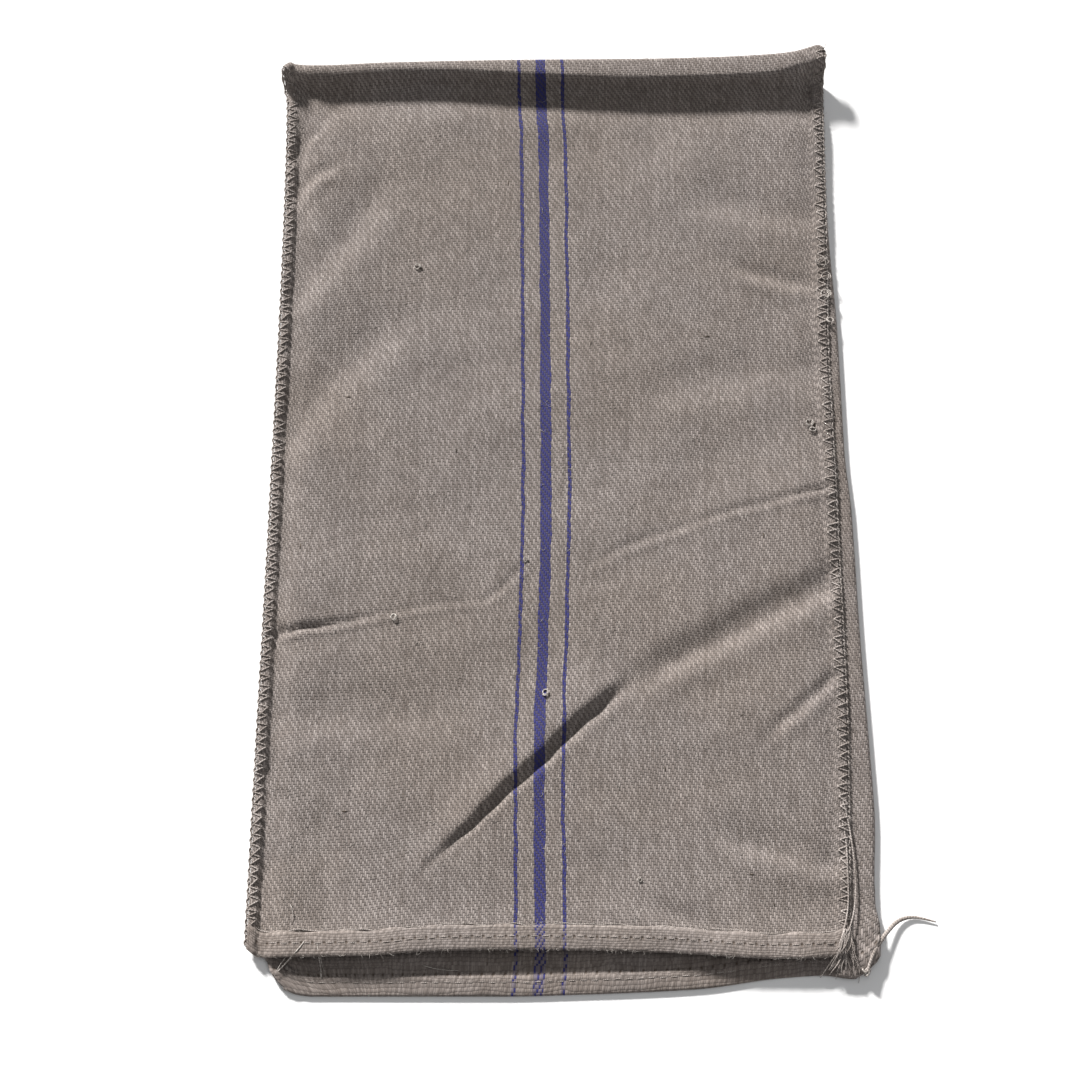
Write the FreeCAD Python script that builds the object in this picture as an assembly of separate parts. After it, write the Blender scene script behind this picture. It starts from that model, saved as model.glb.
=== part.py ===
import FreeCAD, Part
import math
import os

# A jute sack used for sack races, lying flat with its mouth toward -Y and its closed end toward +Y.
# Millimetres, +Z up, origin at the centre of the underside of the whole sack.

# ---- driving sizes ----
overallWidth = 700.0       # left edge cord to the rolled right side, at the mouth
sackLength = 1118.0        # front mouth edge to the closed end
backOverhang = 56.0        # how far the back mouth edge lies past the front one
clothThick = 2.0           # double-warp jute twill
innerGap = 10.0            # room left between the two faces when the sack lies flat
selvedgeDepth = 14.0       # cloth edge gathered into each side seam
selvedgeDrop = 12.0        # run over which a face comes down to the seam
rolledStrip = 26.0         # back cloth seen past the front's right seam, at the mouth
rolledStripHeel = 5.0      # the same strip at the closed end
rollStart = 8.0            # where the back cloth leaves the ground to turn over the right side
lipRun = 60.0              # length of the closed end that curls up off the ground
lipRadius = 110.0
hemDepth = 26.0            # mouth edge to the cut edge of the turned cloth
hemStitchInset = 13.0
hemStitchPitch = 13.0
hemStitchLength = 9.0
overcastPitch = 11.4
overcastDepth = 11.0
threadSide = 1.2           # width of an overcast thread
threadFlat = 0.9           # how far it stands off the cloth
purlDia = 2.8              # looped thread that runs along the overcast edge
stripeCentreX = -18.0
stripeSpacing = 27.0
stripeWide = 12.5
stripeThin = 4.5
stripeDeep = 0.5
tailDia = 2.0
hemTailDia = 1.6
twineDia = 3.0

# ---- places worked out from the sizes ----
totalLength = sackLength + backOverhang
backMouthY = -totalLength / 2
frontMouthY = backMouthY + backOverhang
faceTop = 2 * clothThick + innerGap          # outer face of the front
seamZ = faceTop / 2                          # where the two selvedges meet
leftTip = -overallWidth / 2 + purlDia + threadFlat
rightOut = overallWidth / 2
rightTip = rightOut - rolledStrip
taper = 4.0                                  # each side draws in this much toward the closed end
lipAngle = math.degrees(math.asin(lipRun / lipRadius))
heelY = totalLength / 2 - lipRun - seamZ
lipAxis = FreeCAD.Vector(0, heelY, seamZ + lipRadius)
rampEndY = backMouthY + hemDepth + 20.0
xAxis = FreeCAD.Vector(1, 0, 0)

os.makedirs("parts", exist_ok=True)


def save(node, shapes):
    """Write one node; a list becomes a group of solids."""
    shape = shapes if isinstance(shapes, Part.Shape) else Part.makeCompound(shapes)
    shape.exportStep("parts/" + node + ".step")


def section(points, y):
    """Closed polygon of (x, z) points standing at y."""
    return Part.makePolygon([FreeCAD.Vector(x, y, z) for x, z in points + points[:1]])


def onTheWay(y):
    """0 at the back mouth edge, 1 at the heel of the lip."""
    return (y - backMouthY) / (heelY - backMouthY)


def flatFaces(a, b, c, d):
    """One face for a flat four-sided patch, two triangles for a twisted one."""
    if abs((b - a).cross(d - a).dot(c - a)) < 1e-6:
        return [Part.Face(Part.makePolygon([a, b, c, d, a]))]
    return [Part.Face(Part.makePolygon([a, b, c, a])), Part.Face(Part.makePolygon([a, c, d, a]))]


def carry(sectionAt, ys):
    """Solid between straight-sided sections at the given y places, then the curled lip from the heel."""
    rings = [[FreeCAD.Vector(x, y, z) for x, z in sectionAt(y)] for y in ys]
    faces = [Part.Face(Part.makePolygon(ring + ring[:1])) for ring in (rings[0], rings[-1])]
    for near, far in zip(rings, rings[1:]):
        for i in range(len(near)):
            faces += flatFaces(near[i - 1], near[i], far[i], far[i - 1])
    shell = Part.makeShell(faces)
    shell.sewShape()
    body = Part.makeSolid(shell)
    lip = Part.Face(section(sectionAt(heelY), heelY)).revolve(lipAxis, xAxis, lipAngle)
    return body.fuse(lip).removeSplitter().Solids[0]


def sideX(y):
    """x of the left selvedge tip, the right selvedge tip and the rolled right side."""
    k = onTheWay(y)
    left = leftTip + taper * k
    out = rightOut - taper * k - (rolledStrip - rolledStripHeel) * k * 0.5
    tip = out - rolledStrip - (rolledStripHeel - rolledStrip) * k
    return left, tip, out


def frontLines(y):
    """Where the front face bends: left tip, foot and shoulder, then right shoulder, foot and tip."""
    left, tip, out = sideX(y)
    return (left, left + selvedgeDepth, left + selvedgeDepth + selvedgeDrop,
            tip - selvedgeDepth - selvedgeDrop, tip - selvedgeDepth, tip)


def frontLeftSection(y):
    t = clothThick
    left, foot, shoulder = frontLines(y)[:3]
    return [(left, seamZ), (left, seamZ + t), (foot, seamZ + t), (shoulder, faceTop),
            (shoulder, faceTop - t), (shoulder - 0.5, faceTop - t), (foot - 0.5, seamZ)]


def frontSection(y):
    x0, x1 = frontLines(y)[2:4]
    return [(x0, faceTop - clothThick), (x0, faceTop), (x1, faceTop), (x1, faceTop - clothThick)]


def frontRightSection(y):
    t = clothThick
    shoulder, foot, tip = frontLines(y)[3:]
    return [(shoulder, faceTop - t), (shoulder, faceTop), (foot, seamZ + t), (tip, seamZ + t),
            (tip, seamZ), (foot + 0.5, seamZ), (shoulder + 0.5, faceTop - t)]


def lifted(y, points):
    """Back cloth rises by one thickness over its own mouth hem."""
    span = rampEndY - backMouthY - hemDepth
    rise = clothThick * min(1.0, max(0.0, (rampEndY - y) / span))
    return [(x, z + rise) for x, z in points]


def backLeftSection(y):
    t = clothThick
    left, foot, shoulder = frontLines(y)[:3]
    return lifted(y, [(left, seamZ), (left, seamZ - t), (foot, seamZ - t), (shoulder, 0),
                      (shoulder, t), (shoulder - 0.5, t), (foot - 0.5, seamZ)])


def backSection(y):
    x0, x1 = frontLines(y)[2], sideX(y)[2] - rollStart
    return lifted(y, [(x0, 0), (x1, 0), (x1, clothThick), (x0, clothThick)])


def backRightSection(y):
    t = clothThick
    out, inner = sideX(y)[2], frontLines(y)[4] + 1.0
    return lifted(y, [(out - rollStart, 0), (out - 3, 0), (out, seamZ / 2), (out - 3, seamZ),
                      (inner, seamZ), (inner, seamZ - t), (out - 4, seamZ - t), (out - 2.4, seamZ / 2),
                      (out - 4, t), (out - rollStart, t)])


def stripeCut(x, width, ySpan, outerZ, inward):
    """Shallow band let into a flat face from ySpan[0] to ySpan[1]."""
    z = min(outerZ, outerZ + inward * stripeDeep)
    return Part.makeBox(width, ySpan[1] - ySpan[0], stripeDeep, FreeCAD.Vector(x - width / 2, ySpan[0], z))


def stripeLip(x, width, outerZ, inward):
    """The same band carried up the lip."""
    lo, hi = sorted((outerZ, outerZ + inward * stripeDeep))
    pts = [(x - width / 2, lo), (x + width / 2, lo), (x + width / 2, hi), (x - width / 2, hi)]
    return Part.Face(section(pts, heelY)).revolve(lipAxis, xAxis, lipAngle)


def foldRing(outer, inner, x0, x1):
    """Half tube that turns the cloth over at the closed end, made about the origin."""
    def half(r):
        return Part.Arc(FreeCAD.Vector(x0, 0, -r), FreeCAD.Vector(x0, r, 0),
                        FreeCAD.Vector(x0, 0, r)).toShape()

    def rim(sign):
        return Part.LineSegment(FreeCAD.Vector(x0, 0, sign * inner),
                                FreeCAD.Vector(x0, 0, sign * outer)).toShape()
    wire = Part.Wire(Part.__sortEdges__([half(outer), rim(1), half(inner), rim(-1)]))
    return Part.Face(wire).extrude(FreeCAD.Vector(x1 - x0, 0, 0))


def toLipEnd(shape):
    """Stand a shape made about the origin at the free end of the lip."""
    shape.translate(FreeCAD.Vector(0, heelY, seamZ))
    shape.rotate(lipAxis, xAxis, lipAngle)
    return shape


def edgePlacement(along):
    """Placement at a distance along a side seam, counted from the front mouth edge."""
    straight = heelY - frontMouthY
    if along <= straight:
        return FreeCAD.Placement(FreeCAD.Vector(0, frontMouthY + along, 0), FreeCAD.Rotation())
    turn = FreeCAD.Rotation(xAxis, math.degrees((along - straight) / lipRadius))
    heel = FreeCAD.Placement(FreeCAD.Vector(0, heelY, 0), FreeCAD.Rotation())
    return FreeCAD.Placement(lipAxis - turn.multVec(lipAxis), turn).multiply(heel)


def prism(points, z0, z1):
    """Upright prism on a plan polygon."""
    wire = Part.makePolygon([FreeCAD.Vector(x, y, z0) for x, y in points + points[:1]])
    return Part.Face(wire).extrude(FreeCAD.Vector(0, 0, z1 - z0))


def overcastStitch(tip, inward, slant, low, high, wraps):
    """One thread over a cloth edge: a sloping leg on top, a post outside and, if it wraps, a leg beneath."""
    outside, end, w = tip - threadFlat * inward, tip + overcastDepth * inward, threadSide
    leg = [(outside, 0), (outside, w), (end, slant + w), (end, slant)]
    post = [(outside, 0), (tip, 0), (tip, w), (outside, w)]
    bottom = low - threadFlat if wraps else low
    solid = prism(leg, high, high + threadFlat).fuse(prism(post, bottom, high + threadFlat))
    if wraps:
        solid = solid.fuse(prism(leg, bottom, low))
    return solid.removeSplitter().Solids[0]


def overcastRow(side):
    """Every stitch of one seam, leaning to and fro in turn; the right seam's lie on the rolled cloth."""
    run = heelY - frontMouthY + math.radians(lipAngle) * lipRadius
    stitches = []
    for i in range(int((run - 12.0) / overcastPitch)):
        along = 6.0 + i * overcastPitch
        left, tip, out = sideX(min(frontMouthY + along, heelY))
        slant = 3.0 if i % 2 else -3.0
        if side < 0:
            stitch = overcastStitch(left, 1, slant, seamZ - clothThick, seamZ + clothThick, True)
        else:
            stitch = overcastStitch(tip, -1, slant, seamZ, seamZ + clothThick, False)
        stitch.Placement = edgePlacement(along)
        stitches.append(stitch)
    return stitches


def purl(side):
    """Looped thread lying along the overcast edge, from the front mouth to the end of the lip."""
    r = purlDia / 2

    def ring(y):
        left, tip, out = sideX(y)
        x = left - threadFlat - r if side < 0 else tip + threadFlat + r
        z = seamZ if side < 0 else seamZ + r
        return [(x + r * math.cos(math.radians(a)), z + r * math.sin(math.radians(a)))
                for a in range(0, 360, 45)]
    return carry(ring, [frontMouthY + clothThick, heelY])


def hemStitches(span, y, z):
    """Row of short threads lying on a hem."""
    return [Part.makeBox(hemStitchLength, threadSide, threadFlat,
                         FreeCAD.Vector(span[0] + 2 + i * hemStitchPitch, y - threadSide / 2, z))
            for i in range(int((span[1] - span[0]) / hemStitchPitch))]


def hem(x0, x1, edgeY, panelZ, side):
    """Cloth turned over at a mouth edge: a half-round turn and a strip lying on the panel."""
    t = clothThick
    rootY = edgeY + t
    low, high = FreeCAD.Vector(x0, rootY, panelZ - t), FreeCAD.Vector(x0, rootY, panelZ + t)
    bead = Part.Wire([Part.Arc(low, FreeCAD.Vector(x0, edgeY, panelZ), high).toShape(),
                      Part.LineSegment(high, low).toShape()])
    turn = Part.Face(bead).extrude(FreeCAD.Vector(x1 - x0, 0, 0))
    strip = Part.makeBox(x1 - x0, hemDepth - t, t,
                         FreeCAD.Vector(x0, rootY, panelZ if side > 0 else panelZ - t))
    return turn.fuse(strip).removeSplitter().Solids[0]


def cord(name, points, diameter):
    """Round cord along straight runs joined by tangent arcs."""
    pts = [FreeCAD.Vector(*p) for p in points]
    edges, start, radii = [], pts[0], []
    for before, corner, after in zip(pts, pts[1:], pts[2:]):
        back, ahead = (before - corner), (after - corner)
        half = (math.pi - back.getAngle(ahead)) / 2
        reach = 0.45 * min(back.Length, ahead.Length)
        radii.append(reach / math.tan(half))
        back.normalize()
        ahead.normalize()
        a, b = corner + back * reach, corner + ahead * reach
        bisector = back + ahead
        bisector.normalize()
        centre = corner + bisector * (radii[-1] / math.cos(half))
        middle = centre - bisector * radii[-1]
        edges += [Part.LineSegment(start, a).toShape(), Part.Arc(a, middle, b).toShape()]
        start = b
    edges.append(Part.LineSegment(start, pts[-1]).toShape())
    wire = Part.Wire(edges)
    mouth = Part.Wire(Part.Circle(pts[0], pts[1] - pts[0], diameter / 2).toShape())
    shell = Part.BRepOffsetAPI.MakePipeShell(wire)
    shell.add(mouth)
    shell.build()
    shell.makeSolid()
    solid = shell.shape()
    ratio = solid.Volume / (math.pi * diameter ** 2 / 4 * wire.Length)
    print(name, "length %.0f" % wire.Length, "least radius %.1f" % min(radii), "volume ratio %.3f" % ratio)
    return solid


# ---- the cloth ----
mouthLeft, mouthTip, mouthOut = sideX(frontMouthY)
frontRun = [frontMouthY + clothThick, heelY]
backRun = [backMouthY + clothThick, backMouthY + hemDepth, rampEndY, heelY]
front = carry(frontSection, frontRun)
back = carry(backSection, backRun)
save("front_left_selvedge", carry(frontLeftSection, frontRun))
save("front_right_selvedge", carry(frontRightSection, frontRun))
save("back_left_selvedge", carry(backLeftSection, backRun))
save("back_right_roll", carry(backRightSection, backRun))
heelLeft, heelTip, heelOut = sideX(heelY)
foldLeft = heelLeft + selvedgeDepth + selvedgeDrop
foldRight = heelTip - selvedgeDepth - selvedgeDrop
fold = toLipEnd(foldRing(seamZ, seamZ - clothThick, foldLeft, foldRight))

# ---- blue warp stripes let into the outer face, all the way round ----
stripeSolids = {}
for name, offset, width in (("left_stripe_yarns", -stripeSpacing, stripeThin),
                            ("centre_stripe_yarns", 0.0, stripeWide),
                            ("right_stripe_yarns", stripeSpacing, stripeThin)):
    x = stripeCentreX + offset
    upper = stripeCut(x, width, (frontMouthY + hemDepth, heelY), faceTop, -1)
    upper = upper.fuse(stripeLip(x, width, faceTop, -1)).removeSplitter().Solids[0]
    lower = stripeCut(x, width, (rampEndY, heelY), 0, 1)
    lower = lower.fuse(stripeLip(x, width, 0, 1)).removeSplitter().Solids[0]
    turn = toLipEnd(foldRing(seamZ, seamZ - stripeDeep, x - width / 2, x + width / 2))
    front = front.cut(upper)
    back = back.cut(lower)
    fold = fold.cut(turn)
    stripeSolids[name] = [upper, turn, lower]

save("front_panel", front.Solids[0])
save("back_panel", back.Solids[0])
save("closed_end_fold", fold.Solids[0])
for name, solids in stripeSolids.items():
    save(name, solids)

# ---- mouth hems, turned outward ----
frontX = (mouthLeft + selvedgeDepth + selvedgeDrop + 1, mouthTip - selvedgeDepth - selvedgeDrop - 1)
backX = (mouthLeft + selvedgeDepth + selvedgeDrop + 1, mouthOut - 5)
save("front_mouth_hem", hem(frontX[0], frontX[1], frontMouthY, faceTop, 1))
save("back_mouth_hem", hem(backX[0], backX[1], backMouthY, clothThick, -1))

# ---- stitching ----
save("front_hem_stitches", hemStitches(frontX, frontMouthY + hemStitchInset, faceTop + clothThick))
save("back_hem_stitches", hemStitches(backX, backMouthY + hemStitchInset, 2 * clothThick))
save("left_overcast_stitches", overcastRow(-1))
save("right_overcast_stitches", overcastRow(1))
save("left_purl_thread", purl(-1))
save("right_purl_thread", purl(1))

# ---- loose ends: seam thread hanging from the right seam, a knot and a twine at the mouth corner ----
seamX, onSeam, onStrip = mouthTip, seamZ + clothThick + threadFlat + 1.3, seamZ + clothThick
overHem = 5.2                  # rise where the tails cross the hem at the mouth corner
tail = [(seamX - 14.5, frontMouthY + 186, seamZ + clothThick + 0.2), (seamX - 10.5, frontMouthY + 180, onSeam),
        (seamX - 6, frontMouthY + 168, onSeam), (seamX, frontMouthY + 142, onSeam),
        (seamX + 5, frontMouthY + 96, onSeam), (seamX + 5, frontMouthY + 48, onSeam),
        (seamX - 6, frontMouthY + 11, onSeam + overHem),
        (seamX - 24, frontMouthY - 17, onSeam + 3.8), (seamX - 38, frontMouthY - 35, clothThick * 2 + 2)]
save("right_seam_tail_long", cord("right_seam_tail_long", tail, tailDia))
tail = [(seamX - 14.5, frontMouthY + 160, seamZ + clothThick + 0.2), (seamX - 10.5, frontMouthY + 154, onSeam),
        (seamX - 7, frontMouthY + 142, onSeam), (seamX - 3, frontMouthY + 117, onSeam),
        (seamX - 3, frontMouthY + 79, onSeam),
        (seamX - 4, frontMouthY + 41, onSeam + 1.2), (seamX - 12, frontMouthY + 11, onSeam + overHem),
        (seamX - 18, frontMouthY - 5, onSeam + overHem)]
save("right_seam_tail_short", cord("right_seam_tail_short", tail, tailDia))

knotX, knotY, knotR = mouthOut - 12, backMouthY + 21, 6.0
knot = Part.makeSphere(knotR, FreeCAD.Vector(knotX, knotY, onStrip), FreeCAD.Vector(0, 0, 1), 0, 90, 360)
save("seam_end_knot", knot)
ground = twineDia / 2 + 0.5
twine = [(knotX, knotY + 4, onStrip + 3.5), (knotX + 5, knotY + 20, onStrip + 3),
         (knotX + 14, knotY + 36, onStrip + 1), (knotX + 25, knotY + 51, 7),
         (knotX + 37, knotY + 64, 4.0), (knotX + 52, knotY + 69, ground + 0.3),
         (knotX + 66, knotY + 67, ground), (knotX + 80, knotY + 63, ground)]
save("mouth_corner_twine", cord("mouth_corner_twine", twine, twineDia))

# ---- loose ends of the hem thread at the left ----
hemTop, lapTop = faceTop + clothThick, 2 * clothThick
tail = [(frontX[0] + 40, frontMouthY + 4, hemTop + 0.2), (frontX[0] + 34, frontMouthY - 5, hemTop + 2.6),
        (frontX[0] + 24, frontMouthY - 15, hemTop - 1.5), (frontX[0] + 14, frontMouthY - 25, lapTop + 4),
        (frontX[0] + 6, frontMouthY - 32, lapTop + 1.1)]
save("left_hem_tail_long", cord("left_hem_tail_long", tail, hemTailDia))
tail = [(frontX[0] + 53, frontMouthY + 4, hemTop + 0.2), (frontX[0] + 54, frontMouthY - 6, hemTop + 2.4),
        (frontX[0] + 56, frontMouthY - 17, hemTop - 2.5), (frontX[0] + 58, frontMouthY - 27, lapTop + 3.5),
        (frontX[0] + 58, frontMouthY - 36, lapTop + 1.4)]
save("left_hem_tail_short", cord("left_hem_tail_short", tail, hemTailDia))
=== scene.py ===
import math
from functools import partialmethod

import bpy
import numpy as np
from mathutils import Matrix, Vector


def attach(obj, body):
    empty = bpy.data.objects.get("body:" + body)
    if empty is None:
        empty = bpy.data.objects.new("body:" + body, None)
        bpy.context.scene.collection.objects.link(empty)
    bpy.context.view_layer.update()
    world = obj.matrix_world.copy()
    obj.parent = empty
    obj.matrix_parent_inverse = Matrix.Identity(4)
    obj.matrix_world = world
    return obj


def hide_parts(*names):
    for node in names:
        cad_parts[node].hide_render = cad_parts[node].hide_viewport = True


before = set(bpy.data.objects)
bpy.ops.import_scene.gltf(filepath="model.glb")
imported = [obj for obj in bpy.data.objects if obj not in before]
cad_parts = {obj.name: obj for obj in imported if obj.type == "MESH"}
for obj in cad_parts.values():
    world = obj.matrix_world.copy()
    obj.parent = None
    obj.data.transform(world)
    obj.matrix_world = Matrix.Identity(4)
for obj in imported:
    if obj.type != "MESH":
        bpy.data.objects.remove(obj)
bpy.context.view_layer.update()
print("frame loaded")

mm = 0.001

viewer = {
    "aim": (-21.0, -53.0, 12.0),     # mm, on the sack's face
    "distance": 3034.0,
    "elevation": 68.7,
    "lens": 86.7,
}
# name, place and aim in mm, size in mm, watts, colour; the key is a sun, with degrees across and watts per m2
lamps = [
    ("farKey", (-1900, 3300, 1660), (0, 0, 0), 8.0, 10.0, (1.0, 0.985, 0.97)),
    ("overheadFill", (300, -500, 2800), (0, -50, 0), 2200, 14, (0.97, 0.98, 1.0)),
    ("rightFill", (2200, -400, 1200), (0, 0, 0), 1500, 3, (0.93, 0.96, 1.0)),
]
skyStrength = 0.23
floorHalf = 30.0    # metres, so that low views still see floor behind the sack


def addObject(name, data):
    ob = bpy.data.objects.new(name, data)
    bpy.context.collection.objects.link(ob)
    return ob


def setView():
    cam = bpy.data.cameras.new("sackCamera")
    cam.lens = viewer["lens"]
    cam.sensor_width = 36.0
    cam.clip_end = 50
    ob = addObject("sackCamera", cam)
    aim = Vector(viewer["aim"]) * mm
    e = math.radians(viewer["elevation"])
    back = Vector((0, -math.cos(e), math.sin(e)))
    ob.location = aim + back * viewer["distance"] * mm
    ob.rotation_euler = (-back).to_track_quat("-Z", "Y").to_euler()
    bpy.context.scene.camera = ob


def setLamps():
    for name, place, aim, size, watts, colour in lamps:
        light = bpy.data.lights.new(name, "SUN" if name == "farKey" else "AREA")
        if light.type == "SUN":
            light.angle = math.radians(size)
        else:
            light.size = size * mm
        light.energy = watts
        light.color = colour
        ob = addObject(name, light)
        ob.location = Vector(place) * mm
        ob.rotation_euler = (Vector(aim) * mm - ob.location).to_track_quat("-Z", "Y").to_euler()
    world = bpy.data.worlds.new("softRoom")
    bpy.context.scene.world = world
    world.use_nodes = True
    sky = world.node_tree.nodes["Background"]
    sky.inputs["Color"].default_value = (1, 1, 1, 1)
    sky.inputs["Strength"].default_value = skyStrength


def setFloor():
    mesh = bpy.data.meshes.new("paleFloor")
    r = floorHalf
    mesh.from_pydata([(-r, -r, 0), (r, -r, 0), (r, r, 0), (-r, r, 0)], [], [(0, 1, 2, 3)])
    floor = addObject("paleFloor", mesh)
    mat = bpy.data.materials.new("paleFloor")
    mat.use_nodes = True
    skin = mat.node_tree.nodes["Principled BSDF"]
    skin.inputs["Base Color"].default_value = (0.86, 0.86, 0.86, 1)
    skin.inputs["Roughness"].default_value = 0.9
    mesh.materials.append(mat)


setView()
setLamps()
setFloor()
bpy.context.scene.view_settings.view_transform = "Standard"
print("view, light and floor set")


# Shorthand for laying out one node tree.
class Wiring:

    def __init__(self, material):
        material.use_nodes = True
        self.tree = material.node_tree
        self.skin = self.tree.nodes["Principled BSDF"]

    def put(self, kind, **settings):
        node = self.tree.nodes.new(kind)
        for key, value in settings.items():
            setattr(node, key, value)
        return node

    def feed(self, socket, value):
        if isinstance(value, (int, float, tuple)):
            socket.default_value = value
        else:
            self.tree.links.new(value, socket)

    # a node with its first inputs fed in order
    def made(self, kind, *values, **settings):
        node = self.put(kind, **settings)
        for socket, value in zip(node.inputs, values):
            self.feed(socket, value)
        return node.outputs[0]

    def calc(self, operation, *values):
        return self.made("ShaderNodeMath", *values, operation=operation)

    plus = partialmethod(calc, "ADD")
    minus = partialmethod(calc, "SUBTRACT")
    times = partialmethod(calc, "MULTIPLY")
    over = partialmethod(calc, "DIVIDE")
    power = partialmethod(calc, "POWER")
    floor = partialmethod(calc, "FLOOR")
    fract = partialmethod(calc, "FRACT")
    size = partialmethod(calc, "ABSOLUTE")
    sine = partialmethod(calc, "SINE")

    def mix(self, share, a, b, blend="MIX"):
        node = self.put("ShaderNodeMix", data_type="RGBA", blend_type=blend)
        for socket, value in ((node.inputs["Factor"], share), (node.inputs[6], a), (node.inputs[7], b)):
            self.feed(socket, value)
        return node.outputs[2]

    def spread(self, value, lo, hi, toLo=0.0, toHi=1.0):
        return self.made("ShaderNodeMapRange", value, lo, hi, toLo, toHi, interpolation_type="SMOOTHSTEP")

    def grain(self, place, scale, detail=2.0, rough=0.5):
        node = self.put("ShaderNodeTexNoise")
        for key, value in (("Vector", place), ("Scale", scale), ("Detail", detail), ("Roughness", rough)):
            self.feed(node.inputs[key], value)
        return node.outputs["Fac"]

    def noise(self, x, y, z, detail=2.0, rough=0.5):
        return self.grain(self.made("ShaderNodeCombineXYZ", x, y, z), 1.0, detail, rough)

    def chance(self, x, y):
        return self.made("ShaderNodeTexWhiteNoise", self.made("ShaderNodeCombineXYZ", x, y),
                         noise_dimensions="3D")

    def alongUv(self, name):
        split = self.put("ShaderNodeSeparateXYZ")
        self.feed(split.inputs[0], self.put("ShaderNodeUVMap", uv_map=name).outputs[0])
        return split.outputs[0], split.outputs[1]

    # colour and relief into the surface; deep is the bump's distance in metres
    def wear(self, colour, relief, strength, deep, sheen):
        bump = self.put("ShaderNodeBump")
        for socket, value in ((bump.inputs["Strength"], strength), (bump.inputs["Distance"], deep),
                              (bump.inputs["Height"], relief), (self.skin.inputs["Base Color"], colour),
                              (self.skin.inputs["Normal"], bump.outputs[0]),
                              (self.skin.inputs["Specular IOR Level"], 0.25),
                              (self.skin.inputs["Sheen Weight"], sheen)):
            self.feed(socket, value)


cloth = {
    "warpPairPitch": 2.08,      # mm between pairs of warp yarns, side to side
    "pickPitch": 3.12,          # mm between weft yarns, end to end
    "pale": (0.325, 0.286, 0.268, 1),
    "brown": (0.165, 0.139, 0.125, 1),
    # painted shade: the colour of the shadowed hollows between yarns and between a thread's plies
    "gap": (0.040, 0.033, 0.029, 1),
    # dark bark colour of the yarns, also used as painted shade in the needle holes
    "barkAndHoleShade": (0.055, 0.038, 0.026, 1),
    "blue": (0.012, 0.014, 0.110, 1),
    "blueWorn": (0.028, 0.029, 0.150, 1),
    "reverseShade": (0.86, 0.855, 0.85, 1),
    "warmShade": (0.90, 0.86, 0.80, 1),
    "greyShade": (0.76, 0.755, 0.76, 1),
    "sheenTint": (0.85, 0.80, 0.74, 1),
    "stripeCentre": -18.0,      # mm across, as everywhere in this file
    "stripeSpacing": 27.0,
    "stripeWide": 12.5,
    "stripeThin": 4.5,
    "reliefMm": 0.9,
    "needleHolePitch": 12.5,
}


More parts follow.
